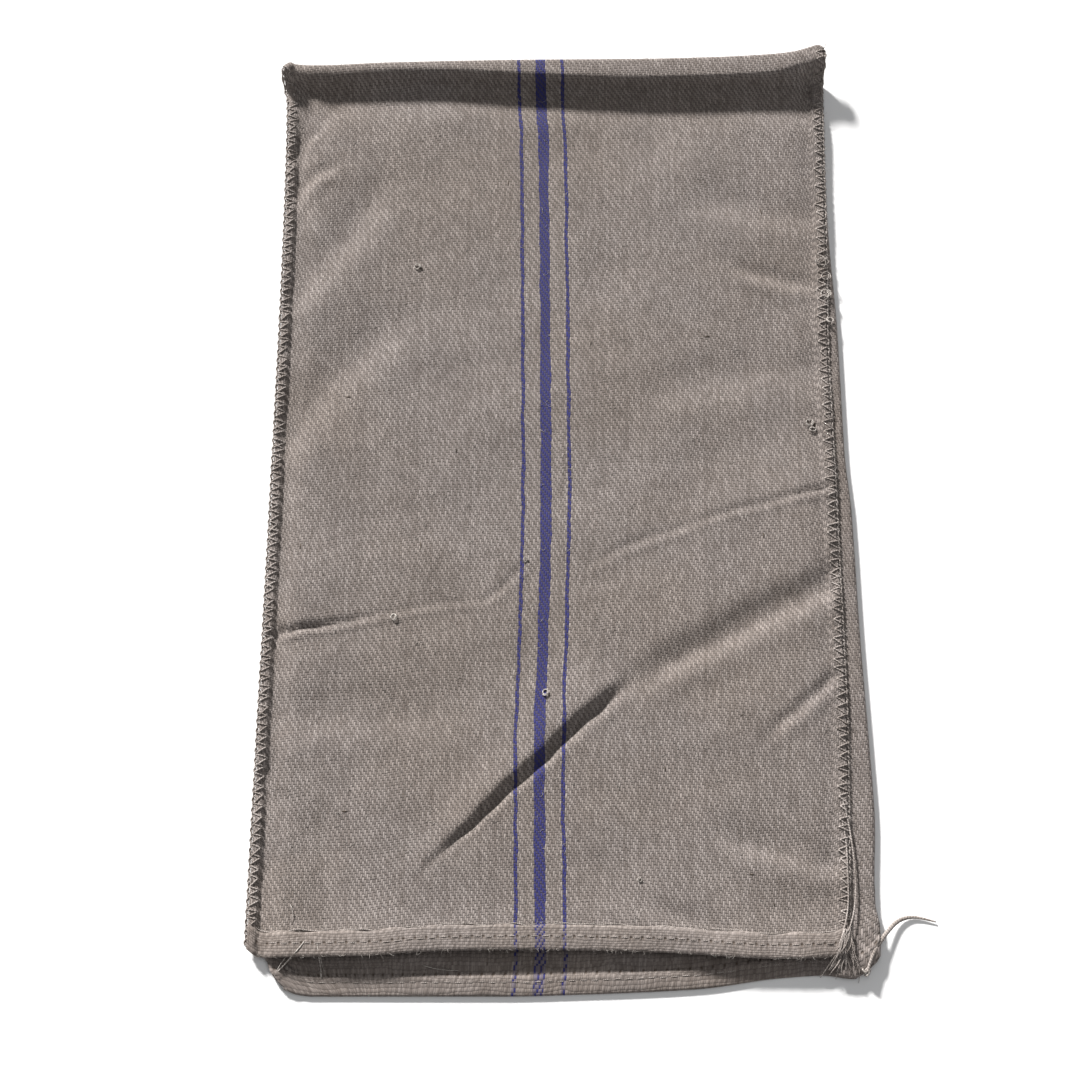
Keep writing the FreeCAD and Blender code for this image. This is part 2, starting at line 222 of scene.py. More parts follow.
# Double-warp 2/1 twill read from the piece's own UV map, in metres of flat cloth.
# Phase t = fract(weft count + warp count / 3) shows warp below two thirds and weft above.
def jutePiece(name, reverse=False):
    mat = bpy.data.materials.new(name)
    w = Wiring(mat)
    x, y = (w.times(part, 1000.0) for part in w.alongUv("flatCloth"))
    # yarns wander a little from their true lines
    sway = w.noise(w.times(x, 0.05), w.times(y, 0.03), 2.0)
    bow = w.noise(w.times(x, 0.02), w.times(y, 0.06), 7.0)
    xs = w.plus(x, w.times(w.minus(sway, 0.5), 5.0))
    ys = w.plus(y, w.times(w.minus(bow, 0.5), 8.0))
    a = w.over(xs, cloth["warpPairPitch"])
    b = w.over(ys, cloth["pickPitch"])
    warpNo = w.floor(a)
    inPair = w.fract(a)
    pickNo = w.floor(b)
    t = w.fract(w.over(w.plus(b, warpNo), 3.0))
    inPick = w.power(w.sine(w.times(w.fract(b), math.pi)), 0.6)
    inPairHump = w.sine(w.times(inPair, math.pi))
    twin = w.size(w.sine(w.times(inPair, 2 * math.pi)))
    width = w.times(w.power(inPairHump, 0.5), w.plus(0.75, w.times(twin, 0.25)))
    faceWarp = w.calc("LESS_THAN", t, 2.0 / 3.0)
    if reverse:
        # warp shows over one pick: 0.25 + 0.5 * round * two round yarns
        # weft floats over two warp pairs: 0.36 + 0.6 * round across * dipping at its ends
        onWarp = w.minus(1.0, faceWarp)
        warpTop = w.plus(0.25, w.times(w.times(inPick, width), 0.5))
        two = w.over(w.plus(w.floor(w.times(t, 3.0)), inPair), 2.0)
        ends = w.power(w.calc("MAXIMUM", w.sine(w.times(two, math.pi)), 0.0), 0.4)
        weftTop = w.plus(0.36, w.times(w.times(inPick, ends), 0.6))
    else:
        # warp floats over two picks: 0.35 + 0.65 * length hump * two round yarns
        # weft shows over one pair: 0.05 + 0.5 * round across * round along
        onWarp = faceWarp
        length = w.power(w.sine(w.times(w.calc("MINIMUM", t, 2.0 / 3.0), 1.5 * math.pi)), 0.6)
        warpTop = w.plus(0.35, w.times(w.times(length, width), 0.65))
        weftTop = w.plus(0.05, w.times(w.times(inPick, w.power(inPairHump, 0.3)), 0.5))
    onWeft = w.minus(1.0, onWarp)
    top = w.plus(w.times(warpTop, onWarp), w.times(weftTop, onWeft))
    # uneven yarns: each has its own thickness and tone, which drift along it
    warpTone = w.chance(warpNo, 3.0)
    pickTone = w.chance(pickNo, 9.0)
    warpDrift = w.noise(w.times(warpNo, 3.7), w.times(y, 0.035), 1.0, 3.0, 0.6)
    pickDrift = w.noise(w.times(x, 0.022), w.times(pickNo, 2.9), 5.0, 3.0, 0.6)
    cell = w.chance(warpNo, w.floor(w.over(w.plus(b, warpNo), 3.0)))
    broad = w.noise(w.times(x, 0.0045), w.times(y, 0.0045), 4.0, 3.0, 0.55)
    patch = w.noise(w.times(x, 0.018), w.times(y, 0.014), 8.0, 4.0, 0.6)
    hair = w.noise(w.times(x, 1.3), w.times(y, 0.9), 0.0, 3.0, 0.7)
    warpSide = w.plus(w.times(warpTone, 0.35), w.times(warpDrift, 0.9))
    pickSide = w.plus(w.times(pickTone, 0.35), w.times(pickDrift, 0.9))
    yarn = w.plus(w.times(warpSide, onWarp), w.times(pickSide, onWeft))
    tone = w.plus(w.times(yarn, 0.30), w.plus(w.times(hair, 0.36), w.times(cell, 0.20)))
    body = w.mix(w.spread(tone, 0.26, 0.70), cloth["brown"], cloth["pale"])
    if reverse:
        body = w.mix(1.0, body, cloth["reverseShade"], "MULTIPLY")
    # slow changes of shade over the whole cloth, warmer in some places and greyer in others
    for share, shade in ((w.spread(broad, 0.38, 0.66, 0.0, 0.55), "warmShade"),
                         (w.spread(patch, 0.35, 0.70, 0.0, 0.5), "greyShade")):
        body = w.mix(share, body, w.mix(1.0, body, cloth[shade], "MULTIPLY"))
    # blue warp yarns in three bands whose edges fall between yarns
    across, stripes = w.times(w.plus(warpNo, 0.5), cloth["warpPairPitch"]), 0.0
    for place, width in ((-1, cloth["stripeThin"]), (0, cloth["stripeWide"]), (1, cloth["stripeThin"])):
        off = w.size(w.minus(across, cloth["stripeCentre"] + place * cloth["stripeSpacing"]))
        stripes = w.plus(stripes, w.calc("LESS_THAN", off, width / 2))
    worn = w.spread(w.plus(w.times(hair, 0.7), w.times(warpDrift, 0.5)), 0.45, 0.85)
    dye = w.mix(worn, cloth["blue"], cloth["blueWorn"])
    overWeft = 0.30 if reverse else 0.86
    shown = w.times(stripes, w.plus(w.times(onWarp, 0.98 - overWeft), overWeft))
    body = w.mix(shown, body, dye)
    # bark and dark slubs left in single yarns
    fleck = w.noise(w.times(x, 0.30), w.times(y, 0.16), 11.0, 1.0)
    body = w.mix(w.times(w.spread(fleck, 0.735, 0.765, 0.0, 0.75), onWarp), body, cloth["barkAndHoleShade"])
    streak = w.noise(w.times(x, 0.045), w.times(pickNo, 1.7), 15.0, 1.0)
    body = w.mix(w.times(w.spread(streak, 0.70, 0.78, 0.0, 0.45), onWeft), body, cloth["barkAndHoleShade"])
    # painted shade between yarns: where the yarn surface lies low its colour goes toward the gap colour
    deep = w.spread(top, 0.12, 0.74)
    body = w.mix(deep, w.mix(0.72 if reverse else 0.93, body, cloth["gap"]), body)
    # needle holes along the hem seam, kept in the mesh's own attribute; the dark colour in them is painted
    # shade
    holes = w.put("ShaderNodeAttribute", attribute_name="needleHoles")
    holeX = w.size(w.minus(w.fract(w.over(x, cloth["needleHolePitch"])), 0.5))
    dot = w.times(w.spread(holeX, 0.07, 0.13, 1.0, 0.0), holes.outputs["Fac"])
    body = w.mix(w.times(dot, 0.88), body, cloth["barkAndHoleShade"])
    relief = w.plus(w.times(top, w.plus(0.75, w.times(yarn, 0.35))), w.times(hair, 0.22))
    relief = w.minus(relief, w.times(dot, 1.2))
    w.wear(body, relief, 1.0, cloth["reliefMm"] * mm * (0.7 if reverse else 1.0), 0.12)
    w.feed(w.skin.inputs["Roughness"], w.spread(hair, 0.3, 0.7, 0.93, 0.78))
    w.skin.inputs["Sheen Roughness"].default_value = 0.55
    w.skin.inputs["Sheen Tint"].default_value = cloth["sheenTint"]
    return mat


# Plied jute thread: UV x runs round it and UV y along it in metres, so x + y / turn is the ply.
def threadPiece(name, pale, dark, twistPerTurn=3.2):
    mat = bpy.data.materials.new(name)
    w = Wiring(mat)
    around, along = w.alongUv("alongThread")
    turn = w.plus(around, w.over(along, twistPerTurn * mm))
    ply = w.size(w.sine(w.times(turn, math.pi)))
    place = w.put("ShaderNodeTexCoord").outputs["Object"]
    hairy = w.grain(place, 900.0, 3.0)
    tone = w.plus(w.times(hairy, 0.6), w.times(w.grain(place, 40.0), 0.6))
    body = w.mix(w.spread(tone, 0.42, 0.75), dark, pale)
    # painted shade in the grooves between the plies
    body = w.mix(w.spread(ply, 0.05, 0.6), w.mix(0.65, body, cloth["gap"]), body)
    w.wear(body, w.plus(ply, w.times(hairy, 0.5)), 0.9, 0.35 * mm, 0.15)
    w.skin.inputs["Roughness"].default_value = 0.85
    return mat


juteFace = jutePiece("juteTwillFace")
juteBack = jutePiece("juteTwillReverse", reverse=True)
seamThread = threadPiece("overcastThread", (0.37, 0.33, 0.305, 1), (0.19, 0.16, 0.14, 1))
hemThread = threadPiece("hemThread", (0.37, 0.33, 0.305, 1), (0.17, 0.145, 0.125, 1), 2.4)
tailThread = threadPiece("looseThread", (0.50, 0.46, 0.42, 1), (0.27, 0.24, 0.22, 1), 5.0)
barkThread = threadPiece("barkSpecks", (0.10, 0.075, 0.055, 1), (0.03, 0.022, 0.016, 1), 5.0)
print("materials laid out")


# Mesh object from arrays: points (n, 3) in mm, faces (m, 4), uvs (m * 4, 2).
def addPiece(name, points, faces, uvName, uvs, materials):
    mesh = bpy.data.meshes.new(name)
    points = np.ascontiguousarray(points, dtype=np.float32).reshape(-1, 3) * mm
    faces = np.ascontiguousarray(faces, dtype=np.int32)
    mesh.vertices.add(len(points))
    mesh.vertices.foreach_set("co", points.ravel())
    mesh.loops.add(faces.size)
    mesh.loops.foreach_set("vertex_index", faces.ravel())
    mesh.polygons.add(len(faces))
    mesh.polygons.foreach_set("loop_start", np.arange(0, faces.size, faces.shape[1], dtype=np.int32))
    mesh.update(calc_edges=True)
    layer = mesh.uv_layers.new(name=uvName)
    layer.data.foreach_set("uv", np.ascontiguousarray(uvs, dtype=np.float32).ravel())
    mesh.polygons.foreach_set("use_smooth", np.full(len(faces), True))
    for mat in materials:
        mesh.materials.append(mat)
    mesh.validate()
    return addObject(name, mesh)


# Quads of a grid whose points are stored row by row.
def gridFaces(rows, cols):
    r, c = np.meshgrid(np.arange(rows - 1), np.arange(cols - 1), indexing="ij")
    first = (r * cols + c).ravel()
    return np.stack([first, first + 1, first + cols + 1, first + cols], axis=1)


# Closed tubes along many paths at once, in mm: paths (k, n, 3), and radii one, one each point, or (k, n).
# Ring point = path + radius * (cos a * side + flat * sin a * up), with side level and up square to it.
# Lobes make a two-ply section that turns once in each pitch. The last ring at each end closes to a point.
def tubes(paths, radii, sides=6, flat=1.0, lobes=0.0, lobePitch=4.0):
    paths = np.asarray(paths, dtype=float)
    k, n, _ = paths.shape
    radii = np.broadcast_to(radii, (k, n))
    along = np.gradient(paths, axis=1)
    along /= np.linalg.norm(along, axis=2, keepdims=True) + 1e-9
    level = np.cross(along, np.array([0, 0, 1.0]))
    weak = np.linalg.norm(level, axis=2, keepdims=True) < 0.05
    level = np.where(weak, np.array([1.0, 0, 0]), level)
    level /= np.linalg.norm(level, axis=2, keepdims=True) + 1e-9
    up = np.cross(along, level)
    steps = np.linalg.norm(np.diff(paths, axis=1), axis=2)
    gone = np.concatenate([np.zeros((k, 1)), np.cumsum(steps, axis=1)], axis=1)
    a = np.arange(sides) / sides * 2 * math.pi
    phase = gone[:, :, None] / lobePitch * 2 * math.pi
    r = radii[:, :, None] * (1 - lobes + lobes * np.abs(np.cos(a[None, None, :] - phase)))
    rings = (paths[:, :, None, :] + (r * np.cos(a))[..., None] * level[:, :, None, :]
             + (r * np.sin(a) * flat)[..., None] * up[:, :, None, :])
    caps = np.stack([paths[:, 0], paths[:, -1]], axis=1)
    points = np.concatenate([rings.reshape(k, n * sides, 3), caps], axis=1)
    i, j = np.meshgrid(np.arange(n - 1), np.arange(sides), indexing="ij")
    nextJ = (j + 1) % sides
    here, there = i * sides, (i + 1) * sides
    body = np.stack([here + j, here + nextJ, there + nextJ, there + j], axis=-1).reshape(-1, 4)
    jj = np.arange(0, sides, 2)
    startCap = np.stack([np.full(len(jj), n * sides), (jj + 2) % sides, jj + 1, jj], axis=1)
    last = (n - 1) * sides
    endCap = np.stack([np.full(len(jj), n * sides + 1), last + jj, last + jj + 1, last + (jj + 2) % sides],
                      axis=1)
    one = np.concatenate([body, startCap, endCap])
    per = n * sides + 2
    faces = (one[None] + (np.arange(k) * per)[:, None, None]).reshape(-1, 4)
    u0, u1 = j / sides, (j + 1) / sides
    v0, v1 = gone[:, i] * mm, gone[:, i + 1] * mm
    corners = ((u0, v0), (u1, v0), (u1, v1), (u0, v1))
    bodyUv = np.stack([np.stack([np.broadcast_to(u, v.shape), v], -1) for u, v in corners], axis=-2)
    capUv = np.zeros((k, (len(startCap) + len(endCap)) * 4, 2))
    uvs = np.concatenate([bodyUv.reshape(k, -1, 2), capUv], axis=1).reshape(-1, 2)
    return points.reshape(-1, 3), faces, uvs


sack = {  # every outline is a list of stations and a list of values, in mm
    "leftEdge": ((-545, -400, 0, 367, 480, 540, 556, 572, 590),
                 (-344, -342, -336, -332.5, -333, -335, -339, -341, -338)),
    "rightEdge": ((-545, -458, -248, 0, 200, 312, 480, 560, 590),
                  (318, 321.5, 327, 325.5, 324, 327, 329, 331, 333)),
    "rolledEdge": ((-590, -540, -511, -483, -393, -320, -176, -28, 48, 205, 370, 450, 590),
                   (346, 353, 354, 350, 354, 352, 347, 344, 339, 337, 331, 331, 335)),
    "frontMouth": ((-345, -326, -300, -195, -150, -110, -20, 100, 240, 306, 330),
                   (-533, -541, -543, -542, -538, -536, -535, -537, -545, -543, -538)),
    "backMouth": ((-300, -288, -270, -60, 22, 152, 242, 290, 324, 336, 348, 356),
                  (-577, -582, -584, -584, -582, -576, -564, -561, -565, -558, -548, -535)),
    "backLeft": ((-590, -580, -564, -541, -528, -500), (-293, -300, -315, -327, -342, -343)),
    "crest": ((-345, -334, -318, -280, -200, -60, 100, 200, 270, 310, 326, 335),
              (574, 580, 579, 576, 579, 581, 582, 585, 589, 596, 598, 594)),
    "crestHeight": ((-345, -300, -200, 0, 200, 270, 310, 335), (29, 25, 27, 30, 31, 33, 37, 38)),
    "rimDepth": ((-345, -250, -150, -30, 100, 250, 335), (6, 4, 7, 17, 23, 24, 16)),
    # ground under the steep side of the raised end
    "wallDepth": ((-345, -290, -220, -140, -30, 100, 250, 300, 335), (20, 30, 26, 18, 13, 11, 13, 24, 22)),
    "mouthLift": ((-345, -285, -200, -120, 0, 120, 220, 290, 330),
                  (0.5, 5.5, 4.5, 2.2, 1.4, 2.0, 3.4, 3.2, 0.4)),
    "sway": ((-590, -531, -319, -150, 0, 250, 480, 540, 600), (-2, -2, -3, 2, 5, 4, 2, -1, -2)),
    # hollows beside the left seam: place along it, reach, distance in from it, depth, reach across, all mm
    "pockets": ((512, 15, 13, 6.0, 6.5), (462, 22, 6, 6.0, 6.5), (500, 26, 26, 4.0, 20),
                (392, 9, 5, 2.0, 6.5), (78, 12, 5, 2.6, 6.5), (-172, 7, 5, 4.0, 6.5),
                (-330, 16, 6, 4.0, 6.5), (-452, 10, 5, 3.0, 6.5)),
    "faceHeight": 11.0,
    "sheet": 1.9,             # cloth thickness
    "clothLength": 1118.0,
    "frontWidth": 673.0,
    "hemDepth": 26.0,
    "hemGap": 2.1,            # between the middles of two layers that touch
    "foldRadius": 4.2,
    "valleyHeight": 6.5,
    "valleyRun": 60.0,
    "finWidth": 10.5,
    "stitchPitch": 11.6,      # from one overcast stitch to the next
    "rightPuckerPitch": 12.3,
    "leftGroove": 5.2,        # how deep each seam's groove is
    "rightGroove": 1.6,
    "lowestFront": 4.2,       # the front cloth never comes nearer the ground than this
    "softRun": 2.8,           # height over which it slows down to that
    "rollRadius": 3.1,
    "groundRun": 660.0,       # back cloth on the ground, as laid and as measured flat
    "groundFlat": 681.0,
    "stripFlat": 38.0,
    "stripUnder": 12.0,       # how far the rolled strip runs in under the front seam
    "drawInRun": 190.0,       # over this the back cloth makes up for its narrower left corners
    "selvedgeAt": -336.0,     # where the back cloth's left edge is in the weave's own measure
    "backStart": 1130.0,      # the weave's measure at the crest, and how much it gains in the fold
    "foldGain": 40.0,
}

# Each crease runs from a to b in mm with a sideways bow. deep is its valley; far and near are the valley's
# widths away from and toward the mouth; ridge stands on its near side and crest on its far side; hold is the
# share of its length from a that keeps full strength. taper narrows the end at a and widens the end at b, and
# start is how many mm it takes to open from a. A row that leaves those two out has 0 and 16.
creaseSizes = ("a", "b", "bow", "deep", "far", "near", "ridge", "crest", "hold", "taper", "start")
creases = [dict(zip(creaseSizes, row)) for row in (
    ((-340, -172), (-190, -148), 2, 4.4, 5.0, 3, 2.4, 1.4, 0.3),
    ((-250, -158), (-60, -128), 6, 0.9, 5, 2.5, 1.3, 0, 0.6),
    ((-92, -134), (-34, -72), -5, 1.3, 5, 3, 0.9, 0.5, 0.6),
    ((334, 14), (236, -10), 3, 2.2, 4.5, 3, 1.9, 0.8, 0.5),
    ((262, -4), (130, -44), 4, 1.3, 5, 3, 1.2, 0.4, 0.5),
    ((160, -34), (10, -104), 8, 1.0, 6, 3.5, 0.9, 0.3, 0.5),
    ((340, -96), (60, -246), 4, 5.0, 20, 13, 1.6, 2.2, 0.7),
    ((96, -214), (-176, -474), 3, 5.4, 6.5, 4.6, 0.5, 5.2, 0.55, 0.9, 74),
    ((322, -218), (226, -308), 4, 2.4, 8, 6, 1.4, 0.9, 0.6),
    ((212, 308), (330, 276), -6, 2.4, 12, 8, 1.6, 0.5, 0.7),
    ((-338, 60), (-150, 262), 14, 3.6, 30, 22, 2.2, 1.0, 0.6),
    ((-336, 250), (-190, 470), -12, 2.8, 24, 18, 1.8, 0.6, 0.6),
    ((-338, -330), (-236, -500), 10, 4.2, 20, 14, 2.6, 1.2, 0.6),
    ((-336, 440), (-292, 500), 4, 3.6, 8, 5, 2.4, 1.0, 0.6),
    ((-334, 388), (-262, 452), 6, 2.6, 11, 7, 1.6, 0.4, 0.6),
    ((318, 372), (140, 420), -10, 2.4, 26, 18, 1.2, 0, 0.6),
    ((324, 168), (60, 120), 14, 2.4, 30, 22, 1.2, 0, 0.6),
    ((-320, -262), (-60, -250), -10, 2.0, 30, 20, 1.0, 0, 0.6),
    ((318, -440), (150, -390), -8, 2.8, 22, 12, 1.6, 0.6, 0.6),
    ((200, -520), (60, -470), -4, 2.0, 16, 10, 1.0, 0.4, 0.6),
)]


# Smooth line through given values that never swings past them: a cubic between stations, and the slope
# at each is the harmonic mean of the slopes beside it, or level where those change sign.
def through(at, stations, values):
    xs, ys = np.asarray(stations, float), np.asarray(values, float)
    step = np.diff(ys) / np.diff(xs)
    before, after = np.concatenate([step[:1], step]), np.concatenate([step, step[-1:]])
    same = before * after > 0
    slope = np.where(same, 2 * before * after / np.where(same, before + after, 1.0), 0.0)
    at = np.clip(at, xs[0], xs[-1])
    i = np.clip(np.searchsorted(xs, at, side="right") - 1, 0, len(xs) - 2)
    h = xs[i + 1] - xs[i]
    t = (at - xs[i]) / h
    return ((2 * t ** 3 - 3 * t ** 2 + 1) * ys[i] + (t ** 3 - 2 * t ** 2 + t) * h * slope[i]
            + (3 * t ** 2 - 2 * t ** 3) * ys[i + 1] + (t ** 3 - t ** 2) * h * slope[i + 1])


def outline(name, at):
    return through(at, *sack[name])


# 0 to 1 with level ends: 3t^2 - 2t^3.
def ease(t):
    t = np.clip(t, 0.0, 1.0)
    return t * t * (3 - 2 * t)


# Sum of low waves in random directions, each about the given length across.
def swell(x, y, seed, wave, height, count=9):
    chance = np.random.default_rng(seed)
    total = np.zeros_like(x, dtype=float)
    for _ in range(count):
        turn = chance.uniform(0, 2 * math.pi)
        length = wave * chance.uniform(0.7, 1.5)
        start = chance.uniform(0, 6.28)
        total += np.sin((x * math.cos(turn) + y * math.sin(turn)) * 2 * math.pi / length + start)
    return total * height / math.sqrt(count)


# For each crease, with d its distance from the bowed line: minus deep * exp(-(d / width)^2), wider on the far
# side, plus its near ridge and its far crest. The whole fades toward both ends, less so where it starts
# at a side seam.
def creaseRelief(x, y):
    total = np.zeros_like(x, dtype=float)
    for c in creases:
        ax, ay = c["a"]
        dx, dy = c["b"][0] - ax, c["b"][1] - ay
        length = math.hypot(dx, dy)
        ex, ey = dx / length, dy / length
        nx, ny = (-ey, ex) if ex > 0 else (ey, -ex)
        s = ((x - ax) * ex + (y - ay) * ey) / length
        wander = 1.2 * np.sin(s * length / 17.0 + ax) + 0.7 * np.sin(s * length / 6.3)
        d = (x - ax) * nx + (y - ay) * ny - c["bow"] * 4 * s * (1 - s) - wander * min(c["near"] / 6, 1.0)
        d = d / (1 + c.get("taper", 0.0) * (0.5 - np.clip(s, 0, 1)))
        atSeam = 0.6 if abs(ax) > 300 else 0.0
        fade = ease(s * length / c.get("start", 16) + atSeam) * ease((1 - s) / (1 - c["hold"]))
        valley = np.exp(-(d / np.where(d > 0, c["far"], c["near"])) ** 2)
        ridge = np.exp(-((d + 1.9 * c["near"]) / (1.3 * c["near"])) ** 2)
        over = d - 1.7 * c["far"]
        crest = np.exp(-(over / np.where(over > 0, 5.0 * c["far"], 0.9 * c["far"])) ** 2)
        total += fade * (c["ridge"] * ridge - c["deep"] * valley + c["crest"] * crest)
    return total


# Middle of the front cloth: a level face with swells and creases, the raised closed end, and the two seams.
def faceHeight(x, y):
    left, right = outline("leftEdge", y), outline("rightEdge", y)
    eL, eR = x - left, right - x
    fromCrest = outline("crest", x) - y
    fromMouth = y - outline("frontMouth", x)
    calm = ease(eL / 60) * ease(eR / 50)
    z = sack["faceHeight"] + swell(x, y, 4, 260, 1.15) * (0.3 + 0.7 * calm) + swell(x, y, 9, 95, 0.5)
    z += creaseRelief(x, y) * ease(eL / 14 + 0.2) * ease(eR / 14 + 0.2)
    z += swell(x * 1.6, y, 21, 34, 0.12)
    z += outline("mouthLift", x) * (1 - ease(fromMouth / 75)) * ease((eL + 6) / 30) * ease((eR + 6) / 30)
    # raised closed end: level rim, steep wall toward the mouth, then a valley that comes back up
    rim = outline("rimDepth", x)
    wall = outline("wallDepth", x)
    top = outline("crestHeight", x) - 0.05 * fromCrest + 0.8 * np.sin(fromCrest / 9.0)
    lip = top + (sack["valleyHeight"] - top) * ease((fromCrest - rim) / wall)
    z = lip + (np.maximum(z, 5.0) - lip) * ease((fromCrest - rim - wall) / sack["valleyRun"])
    # left seam: a ridge lying on its side with a groove along it; right seam: flat, slightly pressed in
    puckers = np.cos(y * 2 * math.pi / sack["stitchPitch"])
    rightPuckers = np.cos(y * 2 * math.pi / sack["rightPuckerPitch"])
    fin = sack["finWidth"]
    groove = ease((eL - fin + 2.5) / 3.5) * (1 - ease((eL - fin - 1.5) / 30))
    z -= sack["leftGroove"] * groove + (1.6 + 0.35 * puckers) * (1 - ease((eL - fin + 2.5) / 3.5))
    for place, reach, inset, deep, broad in sack["pockets"]:
        inward = eL - fin - inset
        z -= deep * np.exp(-((y - place - 1.2 * inward) / reach) ** 2) * np.exp(-(inward / broad) ** 2)
    groove = ease((eR - 11) / 4) * (1 - ease((eR - 15) / 26))
    z -= (sack["rightGroove"] + 0.5 * puckers) * groove
    z -= (0.8 + 0.45 * rightPuckers) * (1 - ease((eR - 9) / 5))
    # below lowest + soft the height is lowest + soft * exp((z - lowest - soft) / soft)
    lowest, soft = sack["lowestFront"], sack["softRun"]
    slowed = lowest + soft * np.exp(np.minimum(z - lowest - soft, 0) / soft)
    return np.where(z < lowest + soft, slowed, z)


# Cloth from a grid of points, with the weave's own measure u, v and the row that carries the needle holes.
# Its thickness stands either side of the sheet, and its other side takes the second material.
def clothObject(name, x, y, z, u, v, holeRow):
    faces = gridFaces(*x.shape)
    flat = np.stack([u, v], axis=-1).reshape(-1, 2) * mm
    ob = addPiece(name, np.stack([x, y, z], axis=-1), faces, "flatCloth", flat[faces.ravel()],
                  (juteFace, juteBack))
    holes = np.zeros(x.shape, dtype=np.float32)
    holes[holeRow] = 1.0
    ob.data.attributes.new("needleHoles", "FLOAT", "POINT").data.foreach_set("value", holes.ravel())
    wall = ob.modifiers.new("clothThickness", "SOLIDIFY")
    wall.thickness = sack["sheet"] * mm
    wall.offset = 0.0
    wall.material_offset = 1
    wall.use_even_offset = False
    wall.use_rim = True
    return ob


# One sheet: hem strip with the reverse out, half-round turn, face up to the crest, half-round fold.
# Each point sits at left + share * width across, and at a distance from the mouth or the crest line.
def frontCloth():
    width, length = sack["frontWidth"], sack["clothLength"]
    near = 36  # mm from each seam where the points stand closer
    share = np.concatenate([np.linspace(0, near, 16)[:-1], np.linspace(near, width - near, 146),
                            np.linspace(width - near, width, 16)[1:]]) / width
    hem = np.linspace(sack["hemDepth"], 0, 9)
    turn = np.linspace(0, math.pi, 6)[1:-1]
    run = np.concatenate([np.linspace(0, 40, 13), np.linspace(40, length - 90, 212)[1:],
                          np.linspace(length - 90, length, 28)[1:]]) / length
    fold = np.linspace(0, math.pi, 8)[1:]
    guess = np.linspace(-345, 335, len(share))[None, :]
    mouth, crest = outline("frontMouth", guess), outline("crest", guess)
    gap, deep = sack["hemGap"], sack["hemDepth"]
    rows = []

    def placed(y):
        left, right = outline("leftEdge", y), outline("rightEdge", y)
        return left + share[None, :] * (right - left)

    for h in hem:
        frayed = swell(guess, mouth, 17, 46, 0.9) if h == deep else 0.0
        y = mouth + h + frayed
        x = placed(y)
        rows.append((x, y, faceHeight(x, y) + gap + 0.5 * math.sin(h / deep * math.pi), np.full_like(x, -h)))
    for a in turn:
        y = mouth - 1.3 * math.sin(a)
        x = placed(mouth)
        rows.append((x, y, faceHeight(x, mouth) + gap / 2 + gap / 2 * math.cos(a), np.full_like(x, 0.5)))
    for p in run:
        y = mouth + (crest - mouth) * p
        x = placed(y)
        rows.append((x, y, faceHeight(x, y), np.full_like(x, p * length)))
    r = sack["foldRadius"]
    for a in fold:
        x = placed(crest)
        z = faceHeight(x, crest) - r + r * math.cos(a)
        rows.append((x, crest + r * 0.9 * math.sin(a), z, np.full_like(x, length + r * a)))
    x, y, z, v = (np.concatenate(part) for part in zip(*rows))
    # beyond the mouth fold the weave is measured along the cloth itself, up over the raised end
    first = len(hem) + len(turn)
    steps = np.hypot(np.diff(y[first:], axis=0), np.diff(z[first:], axis=0))
    v[first:] = np.concatenate([np.zeros((1, x.shape[1])), np.cumsum(steps, axis=0)])
    return clothObject("frontCloth", x, y, z, x - outline("sway", y), v, 4)


# Middle of the back cloth over the ground: it meets the fold at the closed end, and lies over its own
# turned-under hem at the mouth, where the step is a small rounded ridge.
def backHeight(x, y):
    low = sack["sheet"] / 2 + 0.1
    crest = outline("crest", x)
    fromCrest = crest - y
    fromMouth = y - outline("backMouth", x)
    folded = faceHeight(np.clip(x, -335, 332), crest) - 2 * sack["foldRadius"]
    z = low + (np.maximum(folded, low) - low) * (1 - ease(fromCrest / 36))
    shown = 1 - ease((fromMouth - 34) / 40)
    wrinkle = np.exp(-((fromMouth - 41 - swell(x, y, 77, 120, 2.2)) / 1.6) ** 2)
    uneven = 0.8 + swell(x, y, 31, 170, 0.5) + 0.6 * wrinkle
    z += shown * np.maximum(uneven, 0.0) * ease((fromMouth + 4) / 12)
    step = sack["hemGap"] * (1 - ease((fromMouth - 19.2) / 1.2))
    return z + step + 1.1 * np.exp(-((fromMouth - 17.8) / 2.4) ** 2) * (fromMouth < 20)


